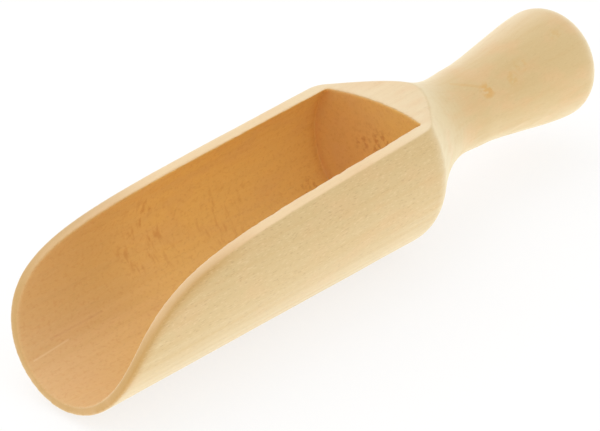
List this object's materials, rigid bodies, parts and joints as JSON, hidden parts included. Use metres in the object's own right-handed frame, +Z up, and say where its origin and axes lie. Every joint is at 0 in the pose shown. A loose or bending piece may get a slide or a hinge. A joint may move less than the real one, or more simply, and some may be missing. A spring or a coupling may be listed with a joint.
{
  "type": "kitchen scoop",
  "caption": "Turned wooden scoop: a bored round trough with a flat sawn rim that sweeps down to a thin lip, and a waisted handle that swells to a rounded knob.",
  "frame": {"origin": "under the middle of the scoop's length, on the turning axis seen from above, level with the lowest line of the bowl", "axes": "+X along the turning axis, from the lip towards the knob; +Z up, out of the bowl's open side; +Y to the left, looking along +X"},
  "size_m": [0.1852, 0.048, 0.0395],
  "materials": {
    "beech": "fine sanded, unvarnished"
  },
  "bodies": {
    "root": {"scoop": "beech"}
  },
  "joints": []
}
